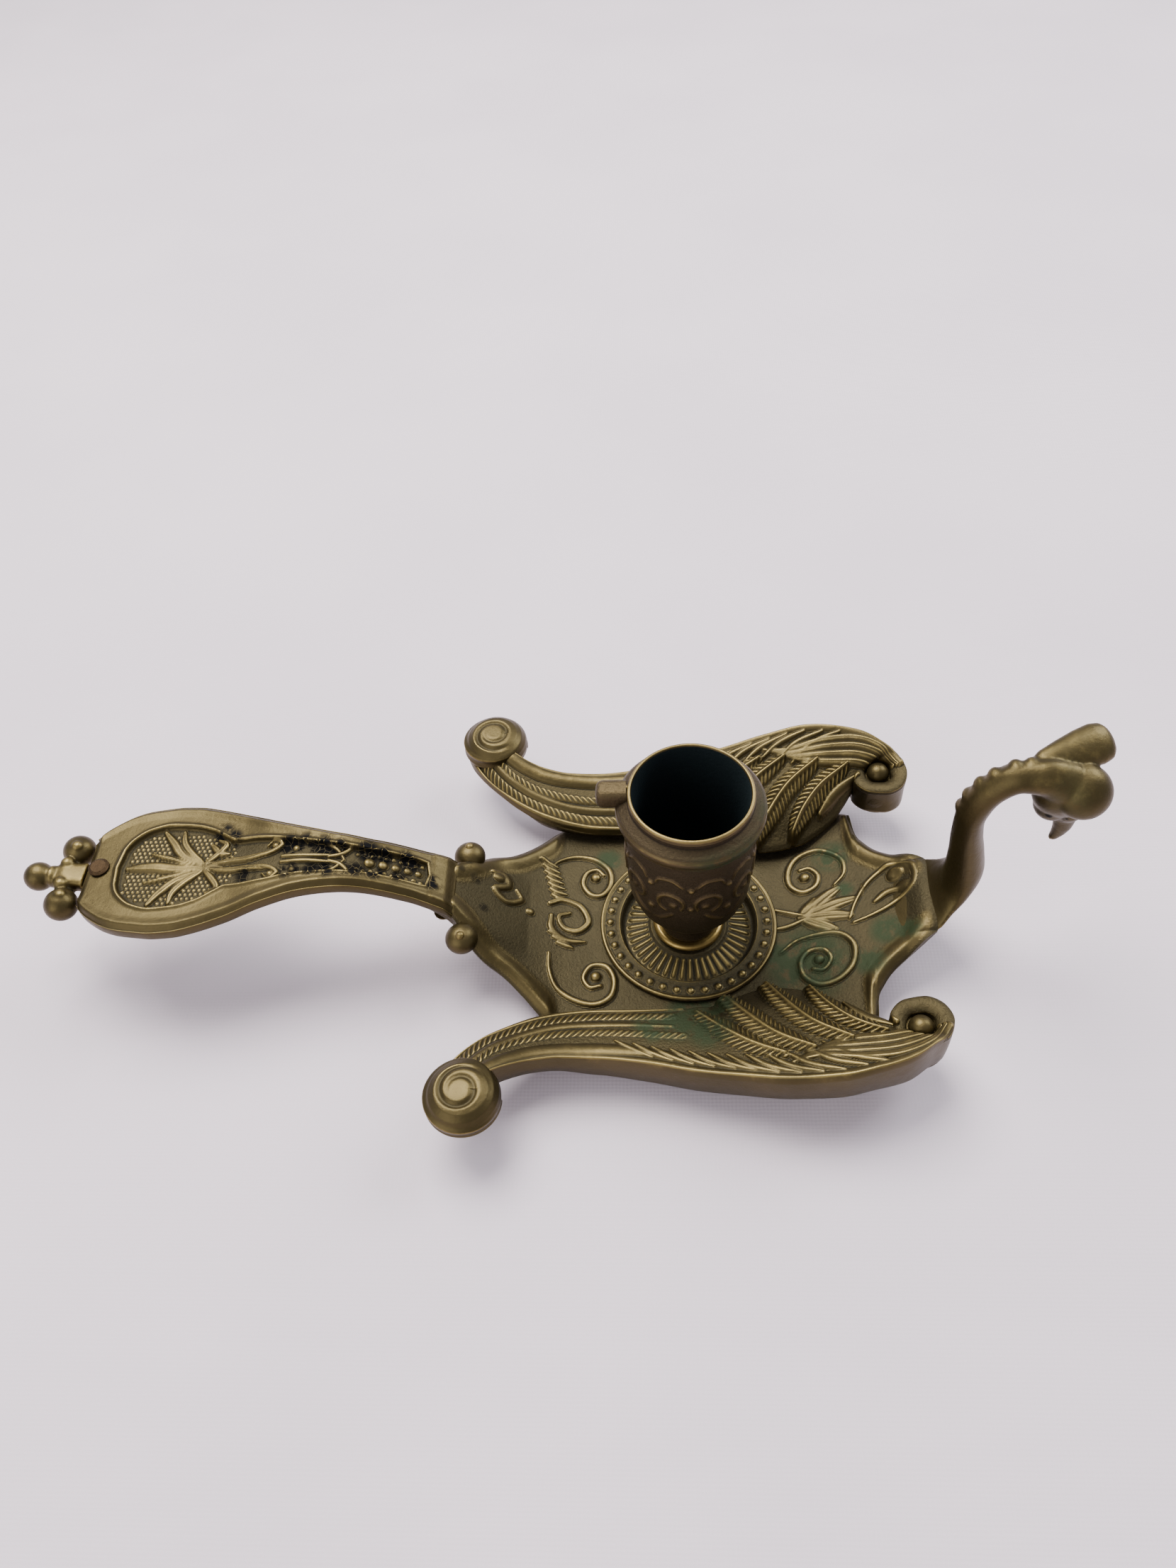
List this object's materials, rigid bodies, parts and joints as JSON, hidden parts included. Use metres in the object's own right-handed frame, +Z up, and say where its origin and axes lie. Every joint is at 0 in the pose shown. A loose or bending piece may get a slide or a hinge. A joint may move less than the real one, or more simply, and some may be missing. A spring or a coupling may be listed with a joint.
{
  "type": "candlestick",
  "caption": "Low cast-brass hand candlestick shaped as a winged griffin, with a turned drip dish, a screw-on candle cup and a leaf-shaped handle.",
  "frame": {"origin": "on the table, below the axis of the candle cup, at the underside of the drip dish", "axes": "+X towards the griffin's head, +Y towards its left wing, +Z up along the axis of the candle cup"},
  "size_m": [0.2121, 0.1006, 0.0553],
  "materials": {
    "aged_brass": "cast, worn on the high spots, with dark recesses",
    "brown_brass": "turned and chased, browner tarnish",
    "bright_brass": "turned, satin",
    "copper": "peened copper rivet, tarnished"
  },
  "bodies": {
    "stand": {"tray": "aged_brass", "drip_dish": "aged_brass", "base_ring": "aged_brass", "handle": "aged_brass", "finial": "aged_brass", "wing_left": "aged_brass", "wing_right": "aged_brass", "griffin_neck": "aged_brass", "handle_rivet_left": "bright_brass", "handle_rivet_right": "bright_brass", "neck_dowel": "bright_brass", "wing_rivet_left_back": "bright_brass", "wing_rivet_left_front": "bright_brass", "wing_rivet_right_back": "bright_brass", "wing_rivet_right_front": "bright_brass", "finial_rivet": "copper"},
    "collar": {"foot_collar": "bright_brass"},
    "cup": {"candle_cup": "brown_brass", "cup_stud": "bright_brass"}
  },
  "joints": [
    {"name": "cup_rise", "type": "slide", "parent": "stand", "child": "collar", "axis": [0, 0, 1], "range_m": [0, 0.0031]},
    {"name": "cup_turn", "type": "hinge", "parent": "collar", "child": "cup", "pos_m": [0, 0, 0], "axis": [0, 0, 1], "range_deg": [0, 864]}
  ],
  "couplings": [
    {"joint": "cup_rise", "follows": "cup_turn", "m_per_rad": 0.00019894}
  ]
}
